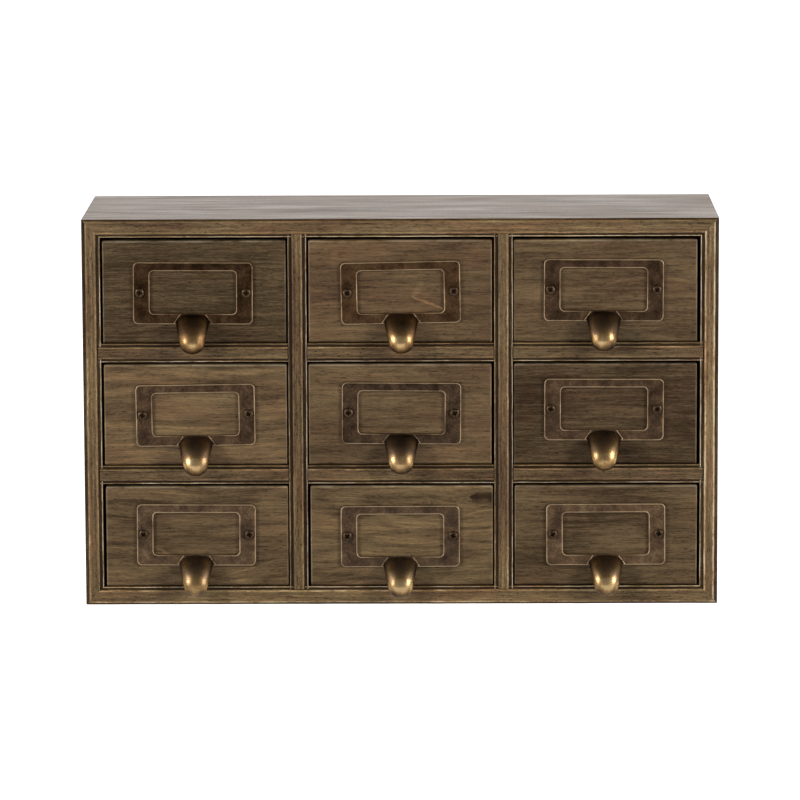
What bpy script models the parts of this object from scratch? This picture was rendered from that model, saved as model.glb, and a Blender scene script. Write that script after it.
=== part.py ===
"""A desktop apothecary cabinet: a mitred case with nine small drawers in three rows of three.

Each drawer has a label frame whose lower bar runs out into a hooded finger pull.
Metres, +Z up. The origin is the centre of the case's underside, and the drawers open towards -Y.
"""

import math

import bmesh
import bpy
from mathutils import Matrix, Vector

# Case
WIDTH = 0.400
DEPTH = 0.133
HEIGHT = 0.246
CASE_BOARD = 0.0115  # thickness of the top, the bottom and the two sides
DIVIDER = 0.0118  # thickness of the partitions and the shelves
MOULD_WIDE = 0.0024  # the sunk strip along each edge of a board's front
MOULD_DEEP = 0.0010
HOUSING = 0.0020  # how far a divider's end is let into the case board
BACK_PANEL = 0.0030
RABBET_WIDE = 0.0060
FIT = 0.0003  # gap between pieces that touch
MITRE_SETBACK = 0.00022  # leaves the same gap between two mitred ends

# Layout
COLUMN_NAMES = ("left", "middle", "right")
ROW_NAMES = ("bottom", "centre", "top")
CELL_WIDTH = (WIDTH - 2 * CASE_BOARD - 2 * DIVIDER) / 3
CELL_HEIGHTS = (0.0660, 0.0660, 0.0674)  # from the bottom row up; the top row is a little taller
FRONT_Y = -DEPTH / 2
BACK_Y = DEPTH / 2
DIVIDER_REAR_Y = BACK_Y - BACK_PANEL - FIT

# Drawers
RECESS = 0.0020  # the drawer fronts stand this far behind the case's front
FRONT_THICK = 0.0100
FRONT_ROUND = 0.0008
SIDE_PLAY = 0.0012
TOP_PLAYS = (0.0013, 0.0013, 0.0019)
BOX_INSET = 0.0008  # the box is this much narrower than its front, on each side
BOX_HEIGHT = 0.0560
BOX_WALL = 0.0060
BOX_FLOOR = 0.0040
BOX_REAR_PLAY = 0.0045
DRAWER_SHIFT_MM = {
    "top": {"left": 0.15, "middle": 0.0, "right": -0.8},
    "centre": {"left": 0.3, "middle": -0.4, "right": -0.75},
    "bottom": {"left": 0.6, "middle": 0.4, "right": -0.3},
}

# Label frame and pull, placed by hand on each drawer, so each sits a little off centre
FRAME_WIDE = 0.0758
FRAME_HIGH = 0.0396
FRAME_THICK = 0.0018
FRAME_CORNER = 0.0035
WINDOW_WIDE = 0.0541
WINDOW_HIGH = 0.0264
WINDOW_RISE = 0.00035  # the window's centre is above the frame's
WINDOW_CORNER = 0.0027
CORNER_STEPS = 3
PULL_ROOT_Z = -0.0130  # top of the pull where it leaves the lower bar
PULL_TIP_Z = -0.0350
PULL_REACH = 0.0160
PULL_THICK = 0.0018
PULL_ROOT_HALF = 0.0120
PULL_TIP_HALF = 0.0066
PULL_TAPER = 1.3  # above 1, the pull narrows more towards its tip
PULL_END_HALF = 0.0040
PULL_END_START = 0.84  # where the tip's round corners begin, as a share of its length
PULL_ROOT_CROWN = 0.0052
PULL_TIP_CROWN = 0.0046
PULL_CROWN_POWER = 2.4
PULL_ACROSS = 6
PULL_ALONG = 7
HARDWARE_PLACES = {  # from the drawer front's centre: mm to the right, mm up, degrees anticlockwise
    "top_left": (-0.8, -0.9, -0.3),
    "top_middle": (0.2, -0.9, 0.95),
    "top_right": (-1.0, 0.3, -0.3),
    "centre_left": (-0.1, -0.2, 0.7),
    "centre_middle": (0.9, 0.6, -0.4),
    "centre_right": (-0.8, 2.7, -0.2),
    "bottom_left": (-0.6, 0.9, -0.3),
    "bottom_middle": (-1.0, -0.4, 0.15),
    "bottom_right": (0.0, 0.6, 0.2),
}

# Screws
SCREW_X = 0.0335  # from the frame's centre
SCREW_Z = 0.0003
SCREW_HEAD = 0.0030
SCREW_HEAD_HIGH = 0.0012
SCREW_SHANK = 0.0013
SCREW_LENGTH = 0.0088
SCREW_SIDES = 12
CROSS_LONG = 0.0034
CROSS_WIDE = 0.0008
CROSS_DEEP = 0.0008

# Rotations that lay a board's section (depth, thickness) and its length along the case
LAY_BOTTOM = Matrix(((0, 0, 1), (1, 0, 0), (0, 1, 0))).to_4x4()
LAY_TOP = Matrix(((0, 0, -1), (1, 0, 0), (0, -1, 0))).to_4x4()
LAY_LEFT = Matrix(((0, 1, 0), (1, 0, 0), (0, 0, -1))).to_4x4()
LAY_RIGHT = Matrix(((0, -1, 0), (1, 0, 0), (0, 0, 1))).to_4x4()


def clear_scene():
    for obj in list(bpy.data.objects):
        bpy.data.objects.remove(obj, do_unlink=True)


def new_collection(name):
    collection = bpy.data.collections.new(name)
    bpy.context.scene.collection.children.link(collection)
    return collection


def new_material(name, colour, roughness, metallic):
    material = bpy.data.materials.new(name)
    material.use_nodes = True
    shader = material.node_tree.nodes["Principled BSDF"]
    shader.inputs["Base Color"].default_value = (*colour, 1.0)
    shader.inputs["Roughness"].default_value = roughness
    shader.inputs["Metallic"].default_value = metallic
    return material


def add_mesh_object(name, mesh, collection, material=None):
    obj = bpy.data.objects.new(name, mesh)
    collection.objects.link(obj)
    if material is not None and not mesh.materials:
        mesh.materials.append(material)
    return obj


def box_mesh(name, low, high):
    """A box between two corners, from the primitive cube."""
    low = Vector(low)
    high = Vector(high)
    size = high - low
    place = Matrix.Translation((low + high) / 2) @ Matrix.Diagonal((*size, 1.0))
    work = bmesh.new()
    bmesh.ops.create_cube(work, size=1.0, matrix=place)
    mesh = bpy.data.meshes.new(name)
    work.to_mesh(mesh)
    work.free()
    return mesh


def baked_mesh(obj):
    """The object's evaluated mesh. The object is removed."""
    bpy.context.view_layer.update()
    evaluated = obj.evaluated_get(bpy.context.evaluated_depsgraph_get())
    mesh = bpy.data.meshes.new_from_object(evaluated)
    bpy.data.objects.remove(obj, do_unlink=True)
    return mesh


def weld(mesh):
    work = bmesh.new()
    work.from_mesh(mesh)
    bmesh.ops.remove_doubles(work, verts=work.verts, dist=1e-6)
    work.to_mesh(mesh)
    work.free()


def flat_mesh(name, outlines, thickness, collection):
    """A flat plate, from closed outlines in X and Y. Its thickness is centred on Z = 0."""
    curve = bpy.data.curves.new(name, "CURVE")
    curve.dimensions = "2D"
    curve.fill_mode = "BOTH"
    curve.extrude = thickness / 2
    for outline in outlines:
        spline = curve.splines.new("POLY")
        spline.points.add(len(outline) - 1)
        for point, (x, y) in zip(spline.points, outline):
            point.co = (x, y, 0.0, 1.0)
        spline.use_cyclic_u = True
    obj = bpy.data.objects.new(name, curve)
    collection.objects.link(obj)
    mesh = baked_mesh(obj)
    weld(mesh)
    return mesh


def rounded_outline(width, height, corner, centre_y, steps):
    """A rectangle with round corners, anticlockwise."""
    points = []
    for quarter in range(4):
        start = quarter * math.pi / 2
        side_x = 1 if quarter in (0, 3) else -1
        side_y = 1 if quarter in (0, 1) else -1
        for step in range(steps + 1):
            angle = start + step * math.pi / 2 / steps
            x = side_x * (width / 2 - corner) + corner * math.cos(angle)
            y = side_y * (height / 2 - corner) + corner * math.sin(angle)
            points.append((x, centre_y + y))
    return points


def circle_outline(x, y, radius, sides):
    turn = 2 * math.pi / sides
    return [(x + radius * math.cos(i * turn), y + radius * math.sin(i * turn)) for i in range(sides)]


def cut(obj, cutter, operation="DIFFERENCE"):
    modifier = obj.modifiers.new(operation.lower(), "BOOLEAN")
    modifier.operation = operation
    modifier.solver = "EXACT"
    modifier.object = cutter


def add_cutter(name, mesh, cutters):
    obj = add_mesh_object(name, mesh, cutters)
    obj.hide_render = True
    obj.display_type = "WIRE"
    return obj


def board_section(thickness, rear_y, rabbet):
    """A board's outline: depth along X, thickness along Y, its front edge moulded on both sides."""
    sunk = FRONT_Y + MOULD_DEEP
    points = [
        (sunk, 0.0),
        (sunk, MOULD_WIDE),
        (FRONT_Y, MOULD_WIDE),
        (FRONT_Y, thickness - MOULD_WIDE),
        (sunk, thickness - MOULD_WIDE),
        (sunk, thickness),
    ]
    if rabbet:
        points += [
            (DIVIDER_REAR_Y, thickness),
            (DIVIDER_REAR_Y, thickness - RABBET_WIDE),
            (rear_y, thickness - RABBET_WIDE),
        ]
    else:
        points += [(rear_y, thickness)]
    return points + [(rear_y, 0.0)]


def mitre(mesh):
    """Shortens each end of a board by its distance from the outer face, so it ends at 45 degrees."""
    for vertex in mesh.vertices:
        inward = vertex.co.y + MITRE_SETBACK
        vertex.co.z -= math.copysign(inward, vertex.co.z)


def add_case_board(name, length, lay, place, parts, material):
    mesh = flat_mesh(name, [board_section(CASE_BOARD, BACK_Y, True)], length, parts)
    mitre(mesh)
    obj = add_mesh_object(name, mesh, parts, material)
    obj.matrix_world = Matrix.Translation(place) @ lay
    return obj


def add_divider(name, length, lay, place, parts, material):
    mesh = flat_mesh(name, [board_section(DIVIDER, DIVIDER_REAR_Y, False)], length, parts)
    obj = add_mesh_object(name, mesh, parts, material)
    obj.matrix_world = Matrix.Translation(place) @ lay
    return obj


def column_centre(column):
    return (column - 1) * (CELL_WIDTH + DIVIDER)


def cell_floor(row):
    return CASE_BOARD + sum(CELL_HEIGHTS[:row]) + row * DIVIDER


def add_case(parts, cutters, material):
    half = WIDTH / 2
    middle_z = HEIGHT / 2
    bottom = add_case_board("bottom_board", WIDTH, LAY_BOTTOM, (0, 0, 0), parts, material)
    top = add_case_board("top_board", WIDTH, LAY_TOP, (0, 0, HEIGHT), parts, material)
    left = add_case_board("left_side", HEIGHT, LAY_LEFT, (-half, 0, middle_z), parts, material)
    right = add_case_board("right_side", HEIGHT, LAY_RIGHT, (half, 0, middle_z), parts, material)
    add_partitions(top, bottom, parts, cutters, material)
    add_shelves(left, right, parts, cutters, material)
    panel_low = (-half + CASE_BOARD - RABBET_WIDE + FIT, BACK_Y - BACK_PANEL, 0)
    panel_low = Vector(panel_low) + Vector((0, 0, CASE_BOARD - RABBET_WIDE + FIT))
    panel_high = (-panel_low.x, BACK_Y, HEIGHT - panel_low.z)
    add_mesh_object("back_panel", box_mesh("back_panel", panel_low, panel_high), parts, material)


def add_partitions(top, bottom, parts, cutters, material):
    """Two full-height partitions, let into housings in the top and the bottom."""
    reach = HOUSING - FIT
    length = HEIGHT - 2 * CASE_BOARD + 2 * reach
    offset = (CELL_WIDTH + DIVIDER) / 2
    for name, x in (("left", -offset), ("right", offset)):
        place = (x - DIVIDER / 2, 0, HEIGHT / 2)
        add_divider(f"{name}_partition", length, LAY_LEFT, place, parts, material)
        for board, level in ((bottom, CASE_BOARD), (top, HEIGHT - CASE_BOARD)):
            low = (x - DIVIDER / 2 - FIT, FRONT_Y - HOUSING, level - HOUSING)
            high = (x + DIVIDER / 2 + FIT, BACK_Y - BACK_PANEL / 2, level + HOUSING)
            cutter_name = f"{name}_{board.name}_housing"
            cut(board, add_cutter(cutter_name, box_mesh(cutter_name, low, high), cutters))


def add_shelves(left, right, parts, cutters, material):
    """Two shelves in each column. The outer ones are let into the sides, and all butt on the partitions."""
    outer_x = WIDTH / 2 - CASE_BOARD
    for column, column_name in enumerate(COLUMN_NAMES):
        low_x = column_centre(column) - CELL_WIDTH / 2 + FIT
        high_x = column_centre(column) + CELL_WIDTH / 2 - FIT
        if column == 0:
            low_x = -outer_x - HOUSING + FIT
        if column == 2:
            high_x = outer_x + HOUSING - FIT
        for level, level_name in ((1, "lower"), (2, "upper")):
            z = cell_floor(level) - DIVIDER
            place = ((low_x + high_x) / 2, 0, z)
            name = f"{column_name}_{level_name}_shelf"
            add_divider(name, high_x - low_x, LAY_BOTTOM, place, parts, material)
    for board, x in ((left, -outer_x), (right, outer_x)):
        for level in (1, 2):
            z = cell_floor(level) - DIVIDER
            low = (x - HOUSING, FRONT_Y - HOUSING, z - FIT)
            high = (x + HOUSING, BACK_Y - BACK_PANEL / 2, z + DIVIDER + FIT)
            cutter_name = f"{board.name}_housing_{level}"
            cut(board, add_cutter(cutter_name, box_mesh(cutter_name, low, high), cutters))


def make_box_mesh(front_width, length, cutters, parts, material):
    """The drawer's box, from its front end at Y = 0: two sides, a back and a floor, open at the front and the top."""
    half = front_width / 2 - BOX_INSET
    obj = add_mesh_object("box", box_mesh("box", (-half, 0, 0), (half, length, BOX_HEIGHT)), parts, material)
    low = (-half + BOX_WALL, -BOX_WALL, BOX_FLOOR)
    high = (half - BOX_WALL, length - BOX_WALL, BOX_HEIGHT + BOX_WALL)
    cut(obj, add_cutter("box_pocket", box_mesh("box_pocket", low, high), cutters))
    return baked_mesh(obj)


def pull_point(across, along):
    """A point on the pull's outer face: across runs from -1 to 1, along from 0 at the bar to 1 at the tip."""
    angle = along * math.pi / 2
    drop = PULL_ROOT_Z - PULL_TIP_Z
    centre = Vector((0, -PULL_REACH * math.sin(angle), PULL_TIP_Z + drop * math.cos(angle)))
    outward = Vector((0, -drop * math.sin(angle), PULL_REACH * math.cos(angle))).normalized()
    half = PULL_ROOT_HALF + (PULL_TIP_HALF - PULL_ROOT_HALF) * along**PULL_TAPER
    end = max(0.0, (along - PULL_END_START) / (1 - PULL_END_START))
    half -= (PULL_TIP_HALF - PULL_END_HALF) * (1 - math.sqrt(max(0.0, 1 - end * end)))
    crown = PULL_ROOT_CROWN + (PULL_TIP_CROWN - PULL_ROOT_CROWN) * along
    return centre + Vector((across * half, 0, 0)) - outward * crown * abs(across) ** PULL_CROWN_POWER


def make_pull_mesh(cutters, parts, material):
    """The label frame and its pull as one casting. The frame's face is at Y = 0, its centre at X = Z = 0."""
    outer = rounded_outline(FRAME_WIDE, FRAME_HIGH, FRAME_CORNER, 0.0, CORNER_STEPS)
    window = rounded_outline(WINDOW_WIDE, WINDOW_HIGH, WINDOW_CORNER, WINDOW_RISE, CORNER_STEPS)
    holes = [
        circle_outline(side * SCREW_X, SCREW_Z, SCREW_SHANK + FIT, SCREW_SIDES) for side in (-1, 1)
    ]
    mesh = flat_mesh("frame", [outer, window, *holes], FRAME_THICK, parts)
    mesh.transform(Matrix.Translation((0, FRAME_THICK / 2, 0)) @ Matrix.Rotation(math.pi / 2, 4, "X"))
    frame = add_mesh_object("frame", mesh, parts, material)
    work = bmesh.new()
    bmesh.ops.create_grid(work, x_segments=PULL_ACROSS, y_segments=PULL_ALONG, size=1.0)
    for vertex in work.verts:
        across = vertex.co.x
        along = (1 - vertex.co.y) / 2
        vertex.co = pull_point(across, along)
        if along == 0:
            vertex.co.y = FRAME_THICK * 0.6  # the root is buried in the bar
    bmesh.ops.recalc_face_normals(work, faces=work.faces)
    hood_mesh = bpy.data.meshes.new("hood")
    work.to_mesh(hood_mesh)
    work.free()
    hood = add_cutter("hood", hood_mesh, cutters)
    outward = sum((p.normal for p in hood_mesh.polygons), Vector()).y < 0
    shell = hood.modifiers.new("shell", "SOLIDIFY")
    shell.thickness = PULL_THICK
    shell.offset = -1.0 if outward else 1.0
    cut(frame, hood, "UNION")
    return baked_mesh(frame)


def make_screw_mesh(cutters, parts, material):
    """A cross-head screw along Y: the head's top is at Y = 0 and faces -Y."""
    profile = [
        (0.0, 0.0),
        (SCREW_HEAD * 0.6, -SCREW_HEAD_HIGH * 0.15),
        (SCREW_HEAD, -SCREW_HEAD_HIGH * 0.7),
        (SCREW_HEAD, -SCREW_HEAD_HIGH),
        (SCREW_SHANK, -SCREW_HEAD_HIGH),
        (SCREW_SHANK, -SCREW_LENGTH + SCREW_SHANK),
        (0.0, -SCREW_LENGTH),
    ]
    mesh = bpy.data.meshes.new("screw")
    points = [(r, 0.0, z) for r, z in profile]
    mesh.from_pydata(points, [(i, i + 1) for i in range(len(points) - 1)], [])
    screw = add_mesh_object("screw", mesh, parts, material)
    turn = screw.modifiers.new("turn", "SCREW")
    turn.steps = SCREW_SIDES
    turn.render_steps = SCREW_SIDES
    turn.use_merge_vertices = True
    turn.merge_threshold = 0.00001
    for name, size_x, size_y in (("slot_a", CROSS_LONG, CROSS_WIDE), ("slot_b", CROSS_WIDE, CROSS_LONG)):
        low = (-size_x / 2, -size_y / 2, -CROSS_DEEP)
        high = (size_x / 2, size_y / 2, CROSS_DEEP)
        cut(screw, add_cutter(name, box_mesh(name, low, high), cutters))
    mesh = baked_mesh(screw)
    mesh.transform(Matrix.Rotation(math.pi / 2, 4, "X"))
    mesh.set_sharp_from_angle(angle=math.radians(35))
    return mesh


def add_drawer(row, column, shared, parts, cutters, materials):
    """One drawer: its front, its box, its label pull and two screws, all on one empty."""
    row_name = ROW_NAMES[row]
    column_name = COLUMN_NAMES[column]
    place = f"{row_name}_{column_name}"
    width = CELL_WIDTH - 2 * SIDE_PLAY
    height = CELL_HEIGHTS[row] - FIT - TOP_PLAYS[row]
    drawer = bpy.data.objects.new(f"drawer_{place}", None)
    parts.objects.link(drawer)
    x = column_centre(column) + DRAWER_SHIFT_MM[row_name][column_name] / 1000
    drawer.location = (x, FRONT_Y + RECESS, cell_floor(row) + FIT)

    front_mesh = box_mesh("front", (-width / 2, 0, 0), (width / 2, FRONT_THICK, height))
    front = add_mesh_object(f"front_{place}", front_mesh, parts, materials["stained_wood"])
    front.parent = drawer
    edge = front.modifiers.new("edge", "BEVEL")
    edge.width = FRONT_ROUND
    edge.segments = 1

    box = add_mesh_object(f"box_{place}", shared["box"], parts)
    box.parent = drawer
    box.location = (0, FRONT_THICK + FIT, 0)

    shift_x, shift_z, tilt = HARDWARE_PLACES[place]
    centre = Vector((shift_x / 1000, 0, height / 2 + shift_z / 1000))
    turn = Matrix.Rotation(-math.radians(tilt), 3, "Y")
    face_y = -FRAME_THICK - FIT
    pull = add_mesh_object(f"pull_{place}", shared["pull"], parts)
    pull.parent = drawer
    pull.location = centre + Vector((0, face_y, 0))
    pull.rotation_euler = turn.to_euler()

    for side, side_name in ((-1, "a"), (1, "b")):
        at = centre + turn @ Vector((side * SCREW_X, 0, SCREW_Z))
        screw = add_mesh_object(f"screw_{side_name}_{place}", shared["screw"], parts)
        screw.parent = drawer
        screw.location = at + Vector((0, face_y - FIT - SCREW_HEAD_HIGH, 0))
        pilot_name = f"pilot_{side_name}_{place}"
        pilot = add_cutter(pilot_name, shared["pilot"], cutters)
        pilot.parent = drawer
        pilot.location = at
        cut(front, pilot)


def make_pilot_mesh():
    """The cutter for a screw's hole in the drawer front, along Y."""
    work = bmesh.new()
    bmesh.ops.create_cone(
        work,
        cap_ends=True,
        segments=SCREW_SIDES,
        radius1=SCREW_SHANK + FIT,
        radius2=SCREW_SHANK + FIT,
        depth=2 * SCREW_LENGTH,
        matrix=Matrix.Rotation(math.pi / 2, 4, "X"),
    )
    mesh = bpy.data.meshes.new("pilot")
    work.to_mesh(mesh)
    work.free()
    return mesh


def main():
    clear_scene()
    parts = new_collection("apothecary_cabinet")
    cutters = new_collection("cutters")
    materials = {
        "stained_wood": new_material("stained_wood", (0.105, 0.073, 0.036), 0.5, 0.0),
        "drawer_wood": new_material("drawer_wood", (0.52, 0.38, 0.22), 0.65, 0.0),
        "antique_brass": new_material("antique_brass", (0.30, 0.19, 0.09), 0.35, 1.0),
        "screw_bronze": new_material("screw_bronze", (0.14, 0.09, 0.06), 0.4, 1.0),
    }
    add_case(parts, cutters, materials["stained_wood"])
    box_length = DIVIDER_REAR_Y - BOX_REAR_PLAY - (FRONT_Y + RECESS + FRONT_THICK + FIT)
    front_width = CELL_WIDTH - 2 * SIDE_PLAY
    shared = {
        "box": make_box_mesh(front_width, box_length, cutters, parts, materials["drawer_wood"]),
        "pull": make_pull_mesh(cutters, parts, materials["antique_brass"]),
        "screw": make_screw_mesh(cutters, parts, materials["screw_bronze"]),
        "pilot": make_pilot_mesh(),
    }
    for row in range(3):
        for column in range(3):
            add_drawer(row, column, shared, parts, cutters, materials)


main()
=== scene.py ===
"""The looks of the apothecary cabinet: stained boards, nine drawer fronts and antique brass pulls.

Metres, in the frame of the CAD model, whose boxes place the pieces.
"""

import math
import random

import bmesh
import bpy
import numpy as np
from mathutils import Matrix, Vector, kdtree, noise


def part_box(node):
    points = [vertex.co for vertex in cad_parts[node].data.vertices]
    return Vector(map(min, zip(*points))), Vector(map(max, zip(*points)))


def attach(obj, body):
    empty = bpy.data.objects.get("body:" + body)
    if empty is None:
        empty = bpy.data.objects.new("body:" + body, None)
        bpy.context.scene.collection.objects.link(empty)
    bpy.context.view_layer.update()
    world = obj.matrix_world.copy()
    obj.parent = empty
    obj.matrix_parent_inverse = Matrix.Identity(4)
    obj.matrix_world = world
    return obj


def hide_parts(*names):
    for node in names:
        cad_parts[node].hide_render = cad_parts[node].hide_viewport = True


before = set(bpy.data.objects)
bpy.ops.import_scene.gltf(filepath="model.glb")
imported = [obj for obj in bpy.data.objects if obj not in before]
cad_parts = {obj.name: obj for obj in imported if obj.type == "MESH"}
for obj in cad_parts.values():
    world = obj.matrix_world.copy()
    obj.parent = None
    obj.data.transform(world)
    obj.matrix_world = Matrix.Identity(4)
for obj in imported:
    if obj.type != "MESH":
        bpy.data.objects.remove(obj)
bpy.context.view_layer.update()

MM = 0.001
COLUMNS = ("left", "middle", "right")
ROWS = ("bottom", "centre", "top")

# ---------------- places, read from the frame
LEFT_LOW, LEFT_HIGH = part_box("left_side")
_, RIGHT_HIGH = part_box("right_side")
PART_LOW, PART_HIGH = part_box("left_partition")
PANEL_LOW, PANEL_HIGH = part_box("back_panel")
WIDTH = RIGHT_HIGH.x - LEFT_LOW.x
HEIGHT = LEFT_HIGH.z
FRONT_Y = LEFT_LOW.y
BACK_Y = LEFT_HIGH.y
BOARD = LEFT_HIGH.x - LEFT_LOW.x
DIVIDER = PART_HIGH.x - PART_LOW.x
DIVIDER_REAR_Y = PART_HIGH.y
RABBET = PANEL_LOW.x - LEFT_LOW.x
REAR_ROUND = 2.0 * MM

# The sunk strips of a board's front edge: their depth, and their widths beside a drawer and along the outside
SUNK_DEEP = 1.0 * MM
UPRIGHT_STRIP = 2.8 * MM
LEVEL_STRIP = 2.3 * MM
UPRIGHT_OUTER = 2.4 * MM
LEVEL_OUTER = 1.3 * MM


# ---------------- shader graphs
def srgb(red, green, blue):
    """A colour given as 0 to 255 values on a screen, as the linear colour that shaders use."""
    linear = []
    for value in (red, green, blue):
        share = value / 255
        linear.append(share / 12.92 if share <= 0.04045 else ((share + 0.055) / 1.055) ** 2.4)
    return (*linear, 1.0)


class Graph:
    """A node tree, with a short method for each kind of node used here."""

    def __init__(self, tree):
        self.tree = tree

    def put(self, socket, value):
        if isinstance(value, bpy.types.NodeSocket):
            self.tree.links.new(value, socket)
        else:
            socket.default_value = value

    def node(self, kind, *values, **settings):
        """A new node with these settings, whose first inputs take the values, numbers or sockets."""
        made = self.tree.nodes.new(f"ShaderNode{kind}")
        for name, setting in settings.items():
            setattr(made, name, setting)
        for socket, value in zip(made.inputs, values):
            self.put(socket, value)
        return made

    def attribute(self, name, kind="Vector"):
        return self.node("Attribute", attribute_name=name).outputs[kind]

    def number(self, name):
        return self.attribute(name, "Fac")

    def split(self, vector):
        return tuple(self.node("SeparateXYZ", vector).outputs)

    def join(self, x, y, z):
        return self.node("CombineXYZ", x, y, z).outputs[0]

    def vector_math(self, operation, vector, other):
        return self.node("VectorMath", vector, other, operation=operation).outputs[0]

    def math(self, operation, a, b=0.0, c=0.0, clamp=False):
        return self.node("Math", a, b, c, operation=operation, use_clamp=clamp).outputs[0]

    def remap(self, value, low, high, to_low=0.0, to_high=1.0, kind="LINEAR"):
        return self.node("MapRange", value, low, high, to_low, to_high, interpolation_type=kind).outputs[0]

    def fade(self, value, low, high, to_low=0.0, to_high=1.0):
        return self.remap(value, low, high, to_low, to_high, "SMOOTHSTEP")

    def add(self, a, b):
        return self.math("ADD", a, b)

    def subtract(self, a, b):
        return self.math("SUBTRACT", a, b)

    def multiply(self, a, b):
        return self.math("MULTIPLY", a, b)

    def scale_add(self, value, scale, start):
        return self.math("MULTIPLY_ADD", value, scale, start)

    def add_up(self, start, *layers):
        """The start plus each layer, which is a value and its weight."""
        for value, weight in layers:
            start = self.scale_add(value, weight, start)
        return start

    def noise(self, vector, scale, detail=2.0, rough=0.5, offset=None):
        """Noise on a vector that is first scaled and then moved by the offset."""
        vector = self.vector_math("MULTIPLY", vector, scale)
        if offset is not None:
            vector = self.vector_math("ADD", vector, offset)
        node = self.node("TexNoise", vector)
        node.inputs["Scale"].default_value = 1.0
        node.inputs["Detail"].default_value = detail
        node.inputs["Roughness"].default_value = rough
        return node.outputs["Fac"]

    def curve(self, value, points):
        """A float curve through (position, level) points."""
        node = self.node("FloatCurve")
        self.put(node.inputs["Value"], value)
        line = node.mapping.curves[0]
        line.points[0].location = points[0]
        line.points[-1].location = points[-1]
        for point in points[1:-1]:
            line.points.new(*point)
        for point in line.points:
            point.handle_type = "AUTO_CLAMPED"
        node.mapping.update()
        return node.outputs["Value"]

    def ramp(self, value, stops):
        node = self.node("ValToRGB", value)
        elements = node.color_ramp.elements
        elements[0].position, elements[0].color = stops[0]
        elements[1].position, elements[1].color = stops[-1]
        for position, colour in stops[1:-1]:
            elements.new(position).color = colour
        return node.outputs["Color"]

    def mix(self, share, a, b, mode="MIX"):
        node = self.node("Mix", share, data_type="RGBA", blend_type=mode)
        colours = [s for s in node.inputs if s.type == "RGBA"]
        self.put(colours[0], a)
        self.put(colours[1], b)
        return next(s for s in node.outputs if s.type == "RGBA")

    def bump(self, height, strength, distance):
        node = self.node("Bump")
        node.inputs["Strength"].default_value = strength
        node.inputs["Distance"].default_value = distance
        self.put(node.inputs["Height"], height)
        return node.outputs["Normal"]

    def light_rays(self, kind):
        """1 for rays of a kind, such as Camera for what the camera sees directly, and 0 for the others."""
        return self.node("LightPath").outputs[f"Is {kind} Ray"]


class MaterialGraph(Graph):
    """The node tree of a new material, which close() ends in its shader."""

    def __init__(self, name):
        self.material = bpy.data.materials.new(name)
        self.material.use_nodes = True
        super().__init__(self.material.node_tree)
        self.shader = self.tree.nodes["Principled BSDF"]

    def close(self, colour, roughness, normal=None, gloss=None, **constants):
        self.put(self.shader.inputs["Base Color"], colour)
        self.put(self.shader.inputs["Roughness"], roughness)
        if normal is not None:
            self.put(self.shader.inputs["Normal"], normal)
        if gloss is not None:
            self.put(self.shader.inputs["Specular IOR Level"], gloss)
        for name, value in constants.items():
            self.shader.inputs[name].default_value = value
        return self.material


# ---------------- wood
WOOD_STOPS = (
    (0.00, srgb(36, 25, 13)),
    (0.25, srgb(60, 46, 24)),
    (0.50, srgb(94, 74, 43)),
    (0.72, srgb(127, 103, 63)),
    (1.00, srgb(192, 168, 128)),
)


def fibre(g, grain):
    """Fine dashes along the grain, about 10 mm by 0.8 mm, broader bands, and short dark pores."""
    streaks = g.noise(grain, (95, 1300, 1300), detail=5, rough=0.85)
    bands = g.noise(grain, (16, 420, 420), detail=3, rough=0.6)
    pores = g.noise(grain, (320, 1500, 1500), rough=0.6)
    return streaks, bands, pores


def wood_gloss(g, value):
    """Dirt and deep pores shine less than the waxed wood."""
    return g.remap(value, 0.10, 0.50, 0.10, 0.45)


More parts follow.
